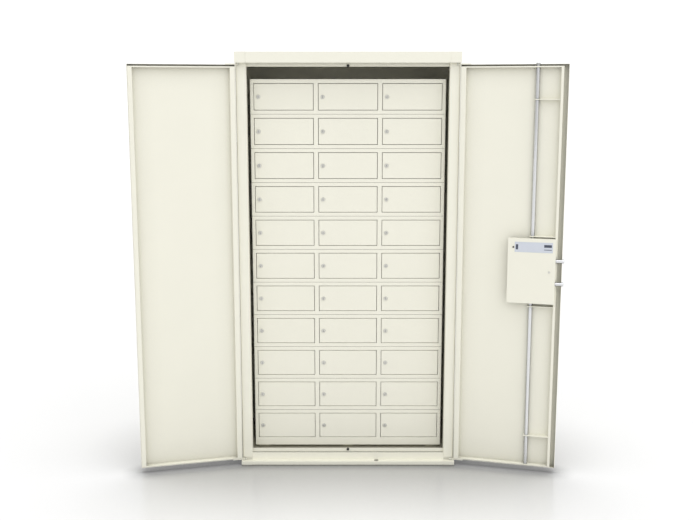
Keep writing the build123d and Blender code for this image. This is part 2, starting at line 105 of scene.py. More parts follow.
@dataclass(frozen=True)
class Finish:
    """A surface: its colours, shader values, the two patterns that break it up, and its painted
    shade in corners.
    """

    name: str
    colour: str
    second_colour: str
    roughness: float
    metallic: float = 0.0
    ior: float = 1.5
    coat: float = 0.0
    blotch_mm: float = 180.0
    grain_mm: tuple[float, float, float] = (3.0, 3.0, 3.0)
    grain_bump_mm: float = 0.02
    rough_spread: float = 0.06
    edge_tint: str = "FFFFFF"
    # colour, reach and scope of the painted shade that darkens corners and recesses
    corner_shade_colour: str = ""
    corner_shade_mm: float = 110.0
    shade_own_shape_only: bool = True

    def material(self) -> bpy.types.Material:
        """Build the material once and return it on every later call.

        Returns:
            The material, on Object coordinates.
        """
        found = bpy.data.materials.get(self.name)
        if found:
            return found
        made = bpy.data.materials.new(self.name)
        made.use_nodes = True
        tree = made.node_tree
        tree.nodes.clear()
        place = add_node(tree, "ShaderNodeTexCoord", {}).outputs["Object"]
        blotch = add_node(tree, "ShaderNodeTexNoise", {
            "Vector": place, "Scale": 1 / (self.blotch_mm * MM), "Detail": 3.0})
        tint = add_node(tree, "ShaderNodeMix", {
            "Factor": blotch.outputs["Fac"], "A": linear(self.colour),
            "B": linear(self.second_colour)}, data_type="RGBA")
        colour = tint.outputs["Result"]
        # painted shade: ambient occlusion mixes the colour towards the dark shade colour in
        # corners, recesses and beside nearby parts
        if self.corner_shade_colour:
            open_share = add_node(tree, "ShaderNodeAmbientOcclusion", {
                "Distance": self.corner_shade_mm * MM}, samples=8, only_local=self.shade_own_shape_only)
            colour = add_node(tree, "ShaderNodeMix", {
                "Factor": open_share.outputs["AO"], "A": linear(self.corner_shade_colour),
                "B": colour}, data_type="RGBA").outputs["Result"]
        scaled = add_node(tree, "ShaderNodeMapping", {
            "Vector": place, "Scale": [1 / (g * MM) for g in self.grain_mm]})
        grain = add_node(tree, "ShaderNodeTexNoise", {
            "Vector": scaled.outputs["Vector"], "Scale": 1.0, "Detail": 2.0})
        rough = add_node(tree, "ShaderNodeMapRange", {
            "Value": grain.outputs["Fac"], "To Min": self.roughness - self.rough_spread,
            "To Max": self.roughness + self.rough_spread})
        bump = add_node(tree, "ShaderNodeBump", {
            "Height": grain.outputs["Fac"], "Strength": 1.0,
            "Distance": self.grain_bump_mm * MM})
        shader = add_node(tree, "ShaderNodeBsdfPrincipled", {
            "Base Color": colour, "Metallic": self.metallic,
            "Specular Tint": linear(self.edge_tint),
            "Roughness": rough.outputs["Result"], "IOR": self.ior,
            "Coat Weight": self.coat, "Coat Roughness": 0.12,
            "Normal": bump.outputs["Normal"]})
        add_node(tree, "ShaderNodeOutputMaterial", {"Surface": shader.outputs["BSDF"]})
        return made


class Finishes(Enum):
    """The finishes of the cabinet, each named for the real one."""

    # polyester powder coat, sprayed and baked: satin, with a faint orange peel, which is
    # drawn a little coarser than its real 1 mm so that it shows.  Its inside corners are
    # darkened with painted shade
    POWDER_COAT = Finish(
        "satin_ivory_polyester_coat", "ECEADC", "E9E7D9", 0.42, grain_mm=(2.5, 2.5, 2.5),
        grain_bump_mm=0.010, corner_shade_colour="716E60")
    # the same coat inside the bank and the cabinet: duller, with its colour darkened as painted
    # shade
    SHADED_INNER_COAT = Finish(
        "dull_ivory_coat_painted_shade", "CFCCBD", "C9C6B7", 0.6, grain_mm=(2.5, 2.5, 2.5),
        grain_bump_mm=0.010)
    # hard chrome on drawn bar: mirror-like with faint drawing lines along the bar, and painted
    # shade darkening it where it runs close to the door panel and other parts
    CHROME = Finish(
        "bright_chrome_bar", "E4E5E6", "DCDDDF", 0.12, metallic=1.0,
        grain_mm=(1.5, 1.5, 40.0), grain_bump_mm=0.002, rough_spread=0.03,
        edge_tint="3A3C40", corner_shade_colour="15171A", corner_shade_mm=45.0, shade_own_shape_only=False)
    # nickel-plated zinc die casting: soft bright grey, slightly uneven gloss, with painted shade
    # in its small recesses such as the plug ring and keyway
    NICKEL = Finish(
        "nickel_plated_die_casting", "DAD9D3", "D0CFC8", 0.30, metallic=1.0,
        blotch_mm=9.0, grain_mm=(0.8, 0.8, 0.8), grain_bump_mm=0.003,
        edge_tint="4A4A48", corner_shade_colour="2B2A28", corner_shade_mm=6.0)
    # zinc-plated pressed steel: grey, dull, with a fine spangle
    ZINC = Finish(
        "zinc_plated_steel", "A5A9AB", "8F9497", 0.38, metallic=1.0, blotch_mm=14.0,
        grain_mm=(4.0, 4.0, 4.0), grain_bump_mm=0.006, rough_spread=0.1)
    # moulded ABS: black, fine spark texture
    BLACK_ABS = Finish(
        "black_moulded_abs", "17181A", "1D1E20", 0.5, grain_mm=(0.7, 0.7, 0.7),
        grain_bump_mm=0.02, blotch_mm=30.0)
    # extruded PVC trunking: pale grey, drawn lines up its length
    GREY_PVC = Finish(
        "grey_extruded_pvc", "C3C5C6", "BBBDBE", 0.45, grain_mm=(1.5, 1.5, 60.0),
        grain_bump_mm=0.02)
    # screen-printed polyester film, pale blue-grey and smooth
    PRINTED_FILM = Finish(
        "pale_blue_polyester_film", "CDD2DB", "C7CCD6", 0.3, coat=0.3,
        grain_mm=(1.0, 1.0, 1.0), grain_bump_mm=0.004, blotch_mm=40.0)
    # the film's printed dark areas
    DARK_PRINT = Finish(
        "dark_printed_film", "3A4150", "434A5A", 0.32, coat=0.3,
        grain_mm=(1.0, 1.0, 1.0), grain_bump_mm=0.004, blotch_mm=15.0)
    # moulded nitrile rubber: near black, matt
    RUBBER = Finish(
        "moulded_nitrile_rubber", "1C1B19", "24231F", 0.75, grain_mm=(1.0, 1.0, 1.0),
        grain_bump_mm=0.03, blotch_mm=12.0)


# ---- bench work ----------------------------------------------------------------------
class Bench:
    """Modelling operations, each on one piece at a time, with nothing else selected."""

    @staticmethod
    def clear() -> None:
        """Deselect every object, leaving none active in edit mode."""
        if bpy.context.object and bpy.context.object.mode != "OBJECT":
            bpy.ops.object.mode_set(mode="OBJECT")
        bpy.ops.object.select_all(action="DESELECT")

    @staticmethod
    def take(piece: bpy.types.Object) -> None:
        """Make one piece the only one selected, and active."""
        Bench.clear()
        piece.select_set(True)
        bpy.context.view_layer.objects.active = piece

    @staticmethod
    def settle(piece: bpy.types.Object) -> None:
        """Move a piece's place, turn and size into its mesh."""
        Bench.take(piece)
        bpy.ops.object.transform_apply(location=True, rotation=True, scale=True)

    @staticmethod
    def block(name: str, low: Vector, high: Vector) -> bpy.types.Object:
        """Add a plain block to be shaped further.

        Args:
            name: the piece's name.
            low: lowest corner.
            high: highest corner.

        Returns:
            The block, with its place in its mesh.
        """
        Bench.clear()
        low, high = Vector(low), Vector(high)
        bpy.ops.mesh.primitive_cube_add(size=1.0, location=(low + high) / 2)
        piece = bpy.context.object
        piece.name = piece.data.name = name
        piece.scale = high - low
        Bench.settle(piece)
        return piece

    @staticmethod
    def bar(name: str, start: Vector, end: Vector, radius: float,
            sides: int = 32) -> bpy.types.Object:
        """Add a round bar to be shaped further.

        Args:
            name: the piece's name.
            start: middle of one end.
            end: middle of the other.
            radius: its radius.
            sides: how many sides its circle has.

        Returns:
            The bar, with its place in its mesh.
        """
        Bench.clear()
        start, end = Vector(start), Vector(end)
        way = end - start
        bpy.ops.mesh.primitive_cylinder_add(
            vertices=sides, radius=radius, depth=way.length, location=(start + end) / 2,
            rotation=way.to_track_quat("Z", "Y").to_euler())
        piece = bpy.context.object
        piece.name = piece.data.name = name
        Bench.settle(piece)
        return piece

    @staticmethod
    def pick(piece: bpy.types.Object, test: Test) -> int:
        """Open a piece in edit mode with only the faces that pass a test selected.

        Args:
            piece: the piece.
            test: takes a face's middle and its normal.

        Returns:
            How many faces are selected.
        """
        Bench.take(piece)
        bpy.ops.object.mode_set(mode="EDIT")
        bpy.ops.mesh.select_mode(type="FACE")
        bpy.ops.mesh.select_all(action="DESELECT")
        mesh = bmesh.from_edit_mesh(piece.data)
        mesh.normal_update()
        found = [f for f in mesh.faces if test(f.calc_center_median(), f.normal)]
        for face in found:
            face.select_set(True)
        bmesh.update_edit_mesh(piece.data)
        return len(found)

    @staticmethod
    def put_down() -> None:
        """Leave edit mode."""
        bpy.ops.object.mode_set(mode="OBJECT")

    @staticmethod
    def hollow(piece: bpy.types.Object, test: Test, wall: float, deep: Vector) -> None:
        """Press a pocket into the picked face: inset it by the wall and push it in.

        Args:
            piece: the piece.
            test: picks the face.
            wall: how much is left round the pocket.
            deep: which way, and how far, the face is pushed.
        """
        Bench.pick(piece, test)
        bpy.ops.mesh.inset(thickness=wall, depth=0.0)
        bpy.ops.mesh.extrude_region_move(TRANSFORM_OT_translate={"value": deep})
        Bench.put_down()

    @staticmethod
    def cut(piece: bpy.types.Object, axis: int, place: float) -> None:
        """Score a piece all round on a plane across one axis, without parting it."""
        Bench.take(piece)
        bpy.ops.object.mode_set(mode="EDIT")
        bpy.ops.mesh.select_all(action="SELECT")
        point, normal = [0.0] * 3, [0.0] * 3
        point[axis], normal[axis] = place, 1.0
        bpy.ops.mesh.bisect(plane_co=point, plane_no=normal)
        Bench.put_down()

    @staticmethod
    def window(piece: bpy.types.Object, across: list[Span], up: Span) -> None:
        """Cut rectangular windows right through a plate that faces along Y.

        Args:
            piece: the plate.
            across: each window's left and right X.
            up: the windows' lower and upper Z.
        """
        for edge in [x for span in across for x in span]:
            Bench.cut(piece, 0, edge)
        for edge in up:
            Bench.cut(piece, 2, edge)
        for left, right in across:
            Bench.pick(piece, lambda c, n: abs(n.y) > 0.9 and left < c.x < right
                       and up[0] < c.z < up[1])
            bpy.ops.mesh.bridge_edge_loops()
            Bench.put_down()

    @staticmethod
    def drill(piece: bpy.types.Object, start: Vector, end: Vector, radius: float) -> None:
        """Drill a round hole through a piece from one point to another."""
        bit = Bench.bar("bit", start, end, radius)
        Bench.carve(piece, bit)

    @staticmethod
    def carve(piece: bpy.types.Object, tool: bpy.types.Object) -> None:
        """Take one piece's shape out of another, and throw the tool away."""
        Bench.take(piece)
        step = piece.modifiers.new("cut", "BOOLEAN")
        step.operation, step.solver, step.object = "DIFFERENCE", "EXACT", tool
        bpy.ops.object.modifier_apply(modifier=step.name)
        bpy.data.objects.remove(tool)

    @staticmethod
    def round_edges(piece: bpy.types.Object, radius: float, rings: int = 3) -> None:
        """Round every sharp edge of a piece and shade it smooth between them."""
        Bench.take(piece)
        step = piece.modifiers.new("round", "BEVEL")
        step.width, step.segments, step.limit_method = radius, rings, "ANGLE"
        step.angle_limit, step.harden_normals = math.radians(35), False
        bpy.ops.object.modifier_apply(modifier=step.name)
        bpy.ops.object.shade_smooth_by_angle(angle=SMOOTH_UNDER)

    @staticmethod
    def even_shading(piece: bpy.types.Object) -> None:
        """Keep a piece's flat faces flat to the eye, beside rounded edges and cut holes."""
        Bench.take(piece)
        bpy.ops.object.shade_smooth_by_angle(angle=SMOOTH_UNDER)
        step = piece.modifiers.new("even", "WEIGHTED_NORMAL")
        step.keep_sharp, step.weight = True, 100
        bpy.ops.object.modifier_apply(modifier=step.name)

    @staticmethod
    def join(name: str, pieces: list[bpy.types.Object]) -> bpy.types.Object:
        """Make several shapes one piece.

        Args:
            name: the joined piece's name.
            pieces: the shapes; the first keeps its materials first.

        Returns:
            The joined piece.
        """
        Bench.take(pieces[0])
        for piece in pieces[1:]:
            piece.select_set(True)
        if len(pieces) > 1:
            bpy.ops.object.join()
        joined = bpy.context.object
        joined.name = joined.data.name = name
        return joined

    @staticmethod
    def copy(piece: bpy.types.Object, name: str, shift: Vector) -> bpy.types.Object:
        """Copy a piece, with a mesh of its own, to another place.

        Args:
            piece: what is copied.
            name: the copy's name.
            shift: how far the copy is moved.

        Returns:
            The copy.
        """
        twin = piece.copy()
        twin.data = piece.data.copy()
        twin.name = twin.data.name = name
        bpy.context.scene.collection.objects.link(twin)
        twin.location = shift
        Bench.settle(twin)
        return twin

    @staticmethod
    def dress(piece: bpy.types.Object, finish: Finishes) -> bpy.types.Object:
        """Give a piece one finish all over, and return it."""
        piece.data.materials.clear()
        piece.data.materials.append(finish.value.material())
        return piece


def fit_up(piece: bpy.types.Object, body: str, slot: str, *nodes: str) -> None:
    """Hand a finished piece over to the frame.

    Args:
        piece: the piece.
        body: the CAD body that it moves with.
        slot: the record's material slot; not used.
        nodes: the CAD nodes that it stands for.
    """
    Bench.even_shading(piece)
    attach(piece, body)
    if nodes:
        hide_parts(*nodes)
    log.info("%s rides on %s, %d faces", piece.name, body, len(piece.data.polygons))


COAT_SLOT, CHROME_SLOT, ZINC_SLOT = "ivory_powder_coat", "bright_chrome", "zinc_steel"
BLACK_SLOT, GREY_SLOT = "black_plastic", "grey_plastic"


@dataclass(frozen=True)
class Hinge:
    """A cabinet door's hinge line, and how far the door stands open at rest."""

    place: Vector
    angle: float

    @classmethod
    def of(cls, name: str) -> "Hinge":
        """Read a hinge from the frame's joint of that name."""
        joint = next(j for j in frame["joints"] if j["name"] == name)
        closed = math.radians(joint["range_deg"][0]) * joint["axis"][2]
        return cls(Vector(joint["pos_m"]), -closed)

    def turn(self, angle: float) -> Matrix:
        """Return the turn about the hinge line by an angle."""
        there = Matrix.Translation(self.place)
        return there @ Matrix.Rotation(angle, 4, "Z") @ there.inverted()

    def open_out(self, piece: bpy.types.Object) -> bpy.types.Object:
        """Swing a piece modelled on the closed door to where the door stands."""
        piece.matrix_world = self.turn(self.angle)
        Bench.settle(piece)
        return piece

    def closed_box(self, node: str) -> tuple[Vector, Vector]:
        """Measure a CAD node on the closed door.

        Args:
            node: the node's name.

        Returns:
            Its lowest and highest corners.
        """
        back = self.turn(-self.angle)
        points = [back @ v.co for v in frame["nodes"][node].data.vertices]
        return (Vector([min(p[i] for p in points) for i in range(3)]),
                Vector([max(p[i] for p in points) for i in range(3)]))


def islands(node: str, turned: Matrix | None = None) -> list[tuple[Vector, Vector]]:
    """Find the boxes of a CAD node's separate solids.

    Args:
        node: the node's name.
        turned: a turn to measure them in, if not as they stand.

    Returns:
        Each solid's lowest and highest corner, in order of X and then of Z.
    """
    mesh = bmesh.new()
    mesh.from_mesh(frame["nodes"][node].data)
    if turned:
        mesh.transform(turned)
    bmesh.ops.remove_doubles(mesh, verts=mesh.verts, dist=1e-6)
    boxes, seen = [], set()
    for vert in mesh.verts:
        if vert in seen:
            continue
        group, queue = [], [vert]
        seen.add(vert)
        while queue:
            here = queue.pop()
            group.append(here.co.copy())
            for edge in here.link_edges:
                other = edge.other_vert(here)
                if other not in seen:
                    seen.add(other)
                    queue.append(other)
        boxes.append((Vector([min(p[i] for p in group) for i in range(3)]),
                      Vector([max(p[i] for p in group) for i in range(3)])))
    mesh.free()
    return sorted(boxes, key=lambda b: (round(b[0].x, 4), round(b[0].z, 4)))


# ---- cabinet shell -------------------------------------------------------------------
@dataclass
class Shell:
    """The fixed steel shell: posts, rails, blocks, panels and the frame's lips."""

    fold: float = 1.6 * MM
    sheet_edge: float = 0.7 * MM
    rod_clear: float = 11.0 * MM
    vent_x: float = 250.0 * MM
    vent_z: tuple[float, float] = (640.0 * MM, 1600.0 * MM)
    vent_size: tuple[float, float] = (70.0 * MM, 5.0 * MM)
    vent_rows: int = 8
    vent_pitch: float = 18.0 * MM
    sill_high: float = 18.0 * MM
    sill_hole_top: float = 30.0 * MM
    arm_x: float = 495.0 * MM
    block_fold: float = 0.9 * MM
    inlet_flange: tuple[float, float] = (8.0 * MM, 4.0 * MM)
    channel_deep: float = 12.0 * MM
    lip_high: tuple[float, float] = (62.0 * MM, 18.0 * MM)
    lip_sheet: float = 2.0 * MM
    buffer_in: float = 4.0 * MM
    buffer_radius: float = 6.0 * MM

    def solids(self, name: str, node: str, radius: float, finish: Finishes) -> None:
        """Rebuild every plain solid of a node with rounded folds, as one piece.

        Args:
            name: the piece's name.
            node: the CAD node that it stands for.
            radius: the folds' radius.
            finish: its finish.
        """
        made = [Bench.block(f"{name}_{i}", *box) for i, box in enumerate(islands(node))]
        piece = Bench.join(name, made)
        Bench.round_edges(piece, radius)
        fit_up(Bench.dress(piece, finish), "cabinet", COAT_SLOT, node)

    def corners(self) -> None:
        """Cast the four corner blocks, rebated for the roof sheet and the hinge arms."""
        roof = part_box("back_panel")[1].z
        made = []
        for low, high in islands("corner_blocks"):
            block = Bench.block("corner", low, high)
            past = Vector((PAST, PAST, PAST))
            near, far = low - past, high + past
            if low.z > self.sill_high:
                rebates = [((near.x, 0.0, roof), far)]
            else:
                left, right = (self.arm_x, far.x) if low.x > 0 else (near.x, -self.arm_x)
                rebates = [((near.x, near.y, self.sill_high), (far.x, 0.0, far.z)),
                           ((left, -PAST, self.sill_high), (right, far.y, far.z))]
            for start, end in rebates:
                Bench.carve(block, Bench.block("rebate", start, end))
            Bench.round_edges(block, self.block_fold, 2)
            made.append(block)
        piece = Bench.join("corner_blocks_cast", made)
        fit_up(Bench.dress(piece, Finishes.POWDER_COAT), "cabinet", COAT_SLOT,
               "corner_blocks")

    def top_rail(self, rod: Vector) -> None:
        """Fold the top rail and drill its underside for the upper rod."""
        low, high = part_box("top_rail")
        piece = Bench.block("top_rail_folded", low, high)
        Bench.round_edges(piece, self.fold)
        Bench.drill(piece, (rod.x, rod.y, low.z - PAST), (rod.x, rod.y, low.z + 2 * PAST),
                    self.rod_clear)
        fit_up(Bench.dress(piece, Finishes.POWDER_COAT), "cabinet", COAT_SLOT, "top_rail")

    def base(self, rod: Vector) -> None:
        """Fold the sill and plinth and drill the sill for the lower rod."""
        low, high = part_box("sill_and_plinth")
        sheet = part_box("roof_panel")[1].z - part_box("back_panel")[1].z
        step = Bench.block("sill", low, (high.x, sheet, self.sill_high))
        Bench.round_edges(step, self.fold)
        Bench.drill(step, (rod.x, rod.y, sheet), (rod.x, rod.y, self.sill_hole_top),
                    self.rod_clear)
        face = Bench.block("plinth", (low.x, 0, self.sill_high), (high.x, sheet, high.z))
        drop = Vector((0, 0, self.channel_deep))
        shelf = Bench.block("shelf", Vector((low.x, sheet / 2, high.z - sheet)) - drop,
                            high - drop)
        for part in (face, shelf):
            Bench.round_edges(part, self.sheet_edge)
        for part in (step, face, shelf):
            part.name = part.data.name = f"folded_{part.name}"
            fit_up(Bench.dress(part, Finishes.POWDER_COAT), "cabinet", COAT_SLOT,
                   "sill_and_plinth")

    def lips(self) -> None:
        """Model the two frame lips, and the rubber buffer at the middle of each."""
        low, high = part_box("frame_lips")
        floor_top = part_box("floor_panel")[1].z
        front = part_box("sill_and_plinth")[1].y
        strips = []
        for foot, top in ((high.z - self.lip_high[0], high.z),
                          (floor_top, floor_top + self.lip_high[1])):
            strips.append(Bench.block("lip", (low.x, front, foot),
                                      (high.x, front + self.lip_sheet, top)))
        places = (high.z - self.lip_high[0] + self.buffer_in,
                  floor_top + self.lip_high[1] - self.buffer_in)
        piece = Bench.join("frame_lip_strips", strips)
        Bench.round_edges(piece, self.sheet_edge)
        fit_up(Bench.dress(piece, Finishes.POWDER_COAT), "cabinet", COAT_SLOT, "frame_lips")
        for word, z in zip(("upper", "lower"), places):
            stud = Bench.bar("stud", (0, low.y, z), (0, high.y, z), self.buffer_radius)
            Bench.round_edges(stud, 2.0 * MM)
            stud.name = stud.data.name = f"{word}_door_buffer"
            fit_up(Bench.dress(stud, Finishes.RUBBER), "cabinet", BLACK_SLOT, "frame_lips")

    def back(self) -> None:
        """Cut the inlet's opening and the four sets of vent slots in the back sheet."""
        low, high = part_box("back_panel")
        inlet_low, inlet_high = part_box("mains_inlet")
        piece = Bench.block("back_sheet", low, high)
        Bench.round_edges(piece, self.sheet_edge)
        inset = Vector((self.inlet_flange[0], -PAST, self.inlet_flange[1]))
        tool = Bench.block("tool", inlet_low + inset, inlet_high - inset)
        Bench.carve(piece, tool)
        for x in (-self.vent_x, self.vent_x):
            for foot in self.vent_z:
                for row in range(self.vent_rows):
                    middle = Vector((x, high.y, foot + row * self.vent_pitch))
                    half = Vector((self.vent_size[0] / 2, PAST, self.vent_size[1] / 2))
                    slot = Bench.block("slot", middle - half, middle + half)
                    Bench.carve(piece, slot)
        fit_up(Bench.dress(piece, Finishes.POWDER_COAT), "cabinet", COAT_SLOT, "back_panel")

    def build(self, rod_x: float, rod_y: float) -> None:
        """Build the whole shell.

        Args:
            rod_x: the bolt rods' X with the door closed.
            rod_y: the bolt rods' Y with the door closed.
        """
        rod = Vector((rod_x, rod_y, 0))
        self.solids("front_posts_folded", "front_posts", self.fold, Finishes.POWDER_COAT)
        self.corners()
        self.solids("side_sheets", "side_panels", self.sheet_edge, Finishes.POWDER_COAT)
        self.solids("roof_sheet", "roof_panel", self.sheet_edge, Finishes.POWDER_COAT)
        # the floor sheet takes the inner coat, darkened as painted shade
        self.solids("floor_sheet", "floor_panel", self.sheet_edge, Finishes.SHADED_INNER_COAT)
        self.top_rail(rod)
        self.base(rod)
        self.lips()
        self.back()


# ---- cabinet doors -------------------------------------------------------------------
@dataclass
class CabinetDoor:
    """One cabinet door leaf: outer tray, pressed inner frame and hinge arms."""

    word: str
    side: int
    lip: float
    groove: bool
    wall: float = 1.5 * MM
    hinge_lip: float = 22.0 * MM
    top_lip: float = 6.0 * MM
    low_lip: float = 5.0 * MM
    fold: float = 1.4 * MM
    edge_return: float = 8.0 * MM
    hinge_gap: float = 2.5 * MM
    tray_fold: float = 0.6 * MM
    arm_fold: float = 0.8 * MM
    rod_hole: float = 9.6 * MM
    spindle_hole: float = 6.5 * MM

    def __post_init__(self) -> None:
        """Read the leaf's hinge and body from the frame."""
        self.hinge = Hinge.of(f"cabinet_{self.word}_door_hinge")
        self.body = f"{self.word}_door"
        self.node = f"{self.word}_door_skin"

    def shaved(self, low: Vector, high: Vector) -> tuple[Vector, Vector]:
        """Take the hinge-side clearance off a box on the closed door."""
        if self.side > 0:
            return low, high - Vector((self.hinge_gap, 0, 0))
        return low + Vector((self.hinge_gap, 0, 0)), high

    def tray(self, rod: Vector, handle: Vector) -> None:
        """Fold the outer tray, with its free-edge flange and holes on the bolted leaf."""
        low, high = self.shaved(*self.hinge.closed_box(self.node))
        piece = Bench.block(f"{self.word}_door_tray", low, high)
        depth = high.y - low.y - self.wall
        Bench.hollow(piece, lambda c, n: n.y > 0.9, self.wall, Vector((0, -depth, 0)))
        if self.groove:
            # known fault: the cuts for the rod's holes below drop this flange from the mesh
            flange = Bench.block(
                "flange", (low.x, high.y - self.wall, low.z),
                (low.x + self.edge_return, high.y, high.z))
            piece = Bench.join(piece.name, [piece, flange])
        Bench.round_edges(piece, self.tray_fold, 2)
        if self.groove:
            for z in (low.z, high.z):
                Bench.drill(piece, (rod.x, rod.y, z - 4 * MM), (rod.x, rod.y, z + 4 * MM),
                            self.rod_hole)
            Bench.drill(piece, (handle.x, low.y - 3 * MM, handle.z),
                        (handle.x, low.y + 3 * MM, handle.z), self.spindle_hole)
        self.hinge.open_out(piece)
        fit_up(Bench.dress(piece, Finishes.POWDER_COAT), self.body, COAT_SLOT, self.node)

    def inner(self, rod: Vector) -> None:
        """Press the inner frame, and cut its window and the rod's holes."""
        node = f"{self.word}_door_inner_frame"
        parts = islands(node, self.hinge.turn(-self.hinge.angle))
        parts.sort(key=lambda b: (b[1] - b[0]).length)
        low, high = self.shaved(*parts[-1])
        piece = Bench.block(f"{self.word}_door_pressed_frame", low, high)
        free, held = (low.x, high.x) if self.side > 0 else (high.x, low.x)
        edges = sorted((free + self.side * self.lip, held - self.side * self.hinge_lip))
        Bench.window(piece, [(edges[0], edges[1])],
                     (low.z + self.low_lip, high.z - self.top_lip))
        Bench.round_edges(piece, self.fold)
        if self.groove:
            for z in (low.z + self.low_lip / 2, high.z - self.top_lip / 2):
                Bench.drill(piece, (rod.x, rod.y, z - 6 * MM), (rod.x, rod.y, z + 6 * MM),
                            self.rod_hole)
        made = [piece]
        for arm_low, arm_high in parts[:-1]:
            arm = Bench.block("arm", arm_low, arm_high)
            Bench.round_edges(arm, self.arm_fold, 2)
            made.append(arm)
        piece = Bench.join(piece.name, made)
        self.hinge.open_out(piece)
        fit_up(Bench.dress(piece, Finishes.POWDER_COAT), self.body, COAT_SLOT, node)

    def build(self, rod: Vector, handle: Vector) -> None:
        """Build the leaf.

        Args:
            rod: the bolt rods' place on the closed door.
            handle: the handle's middle on the closed door.
        """
        self.tray(rod, handle)
        self.inner(rod)


# ---- bolt work -----------------------------------------------------------------------
@dataclass
class BoltWork:
    """Rods, guides, deadbolts, lock box and handle on the right-hand door."""

    hinge: Hinge
    body: str = "right_door"
    bar_chamfer: float = 1.5 * MM
    guide_bore: float = 9.1 * MM
    bolt_radius: float = 8.75 * MM
    bolt_bore: float = 9.1 * MM
    cover_sheet: float = 1.5 * MM
    hub_radius: float = 12.0 * MM
    rose_radius: float = 26.0 * MM
    spindle_bore: float = 5.2 * MM

    def place(self, node: str) -> Vector:
        """Return the middle of a node on the closed door."""
        low, high = self.hinge.closed_box(node)
        return (low + high) / 2

    def rods(self) -> None:
        """Turn the two bolt rods, with chamfered ends."""
        for word in ("upper", "lower"):
            low, high = self.hinge.closed_box(f"{word}_bolt_rod")
            x, y = (low.x + high.x) / 2, (low.y + high.y) / 2
            rod = Bench.bar(f"{word}_rod_bar", (x, y, low.z), (x, y, high.z),
                            (high.x - low.x) / 2, 48)
            Bench.round_edges(rod, self.bar_chamfer, 2)
            self.hinge.open_out(rod)
            fit_up(Bench.dress(rod, Finishes.CHROME), f"{word}_rod", CHROME_SLOT,
                   f"{word}_bolt_rod")

    def guides(self) -> None:
        """Press the four guide plates, each with a bore for its rod."""
        rod = self.place("upper_bolt_rod")
        made = []
        for low, high in islands("rod_guides", self.hinge.turn(-self.hinge.angle)):
            plate = Bench.block("guide", low, high)
            Bench.round_edges(plate, 0.9 * MM, 2)
            Bench.drill(plate, (rod.x, rod.y, low.z - 5 * MM),
                        (rod.x, rod.y, high.z + 5 * MM), self.guide_bore)
            made.append(plate)
        piece = Bench.join("rod_guide_plates", made)
        self.hinge.open_out(piece)
        fit_up(Bench.dress(piece, Finishes.POWDER_COAT), self.body, COAT_SLOT, "rod_guides")

    def deadbolts(self) -> None:
        """Turn the two deadbolts and join them by their draw bar."""
        low, high = self.hinge.closed_box("deadbolts")
        radius = self.bolt_radius
        y = low.y + radius
        made = []
        for z in (low.z + radius, high.z - radius):
            bolt = Bench.bar("bolt", (low.x, y, z), (high.x, y, z), radius, 48)
            Bench.round_edges(bolt, self.bar_chamfer, 3)
            made.append(bolt)
        link = Bench.block("link", (high.x - 4 * MM, y - 1 * MM, low.z + radius),
                           (high.x, y + 6 * MM, high.z - radius))
        Bench.round_edges(link, 0.6 * MM, 2)
        piece = Bench.join("deadbolt_pair", [*made, link])
        self.hinge.open_out(piece)
        fit_up(Bench.dress(piece, Finishes.CHROME), "deadbolts", CHROME_SLOT, "deadbolts")

    def cover(self) -> None:
        """Fold the lock box cover, and add its label strip, studs and printed marks."""
        parts = islands("lock_box_cover", self.hinge.turn(-self.hinge.angle))
        parts.sort(key=lambda b: (b[1] - b[0]).length, reverse=True)
        (low, high), strip, *studs = parts
        box = Bench.block("lock_cover", low, high)
        Bench.hollow(box, lambda c, n: n.y < -0.9, self.cover_sheet,
                     Vector((0, high.y - low.y - self.cover_sheet, 0)))
        Bench.round_edges(box, 0.7 * MM, 3)
        bolts_low, bolts_high = self.hinge.closed_box("deadbolts")
        y = bolts_low.y + self.bolt_radius
        for z in (bolts_low.z + self.bolt_radius, bolts_high.z - self.bolt_radius):
            Bench.drill(box, (low.x - 4 * MM, y, z), (low.x + 4 * MM, y, z), self.bolt_bore)
        self.hinge.open_out(box)
        fit_up(Bench.dress(box, Finishes.POWDER_COAT), self.body, COAT_SLOT,
               "lock_box_cover")

        film = Bench.block("lock_label_film", *strip)
        Bench.round_edges(film, 0.4 * MM, 2)
        self.hinge.open_out(film)
        fit_up(Bench.dress(film, Finishes.PRINTED_FILM), self.body, GREY_SLOT,
               "lock_box_cover")
        self.marks(*strip)
        for i, (stud_low, stud_high) in enumerate(studs):
            middle = (stud_low + stud_high) / 2
            stud = Bench.bar("stud", (middle.x, stud_low.y - 0.5 * MM, middle.z),
                             (middle.x, stud_high.y, middle.z),
                             (stud_high.x - stud_low.x) / 2)
            Bench.round_edges(stud, 1.0 * MM)
            stud.name = f"lock_cover_stud_{i + 1}"
            self.hinge.open_out(stud)
            finish = Finishes.BLACK_ABS if stud_high.x > strip[1].x else Finishes.NICKEL
            slot = BLACK_SLOT if finish is Finishes.BLACK_ABS else ZINC_SLOT
            fit_up(Bench.dress(stud, finish), self.body, slot, "lock_box_cover")

    def marks(self, low: Vector, high: Vector) -> None:
        """Lay plain printed blocks on the label strip.

        Args:
            low: the strip's lowest corner.
            high: its highest corner.
        """
        wide, tall = high.x - low.x, high.z - low.z
        # (from the strip's left as seen, width, from its foot, height), in parts of it
        plan = ((0.03, 0.06, 0.26, 0.50), (0.77, 0.20, 0.52, 0.26), (0.77, 0.20, 0.26, 0.06))
        made = []
        for from_left, across, up, height in plan:
            right = high.x - from_left * wide
            made.append(Bench.block(
                "mark", (right - across * wide, high.y - 0.2 * MM, low.z + up * tall),
                (right, high.y + 0.6 * MM, low.z + (up + height) * tall)))
        piece = Bench.join("lock_label_marks", made)
        Bench.round_edges(piece, 0.25 * MM, 2)
        self.hinge.open_out(piece)
        fit_up(Bench.dress(piece, Finishes.DARK_PRINT), self.body, GREY_SLOT)

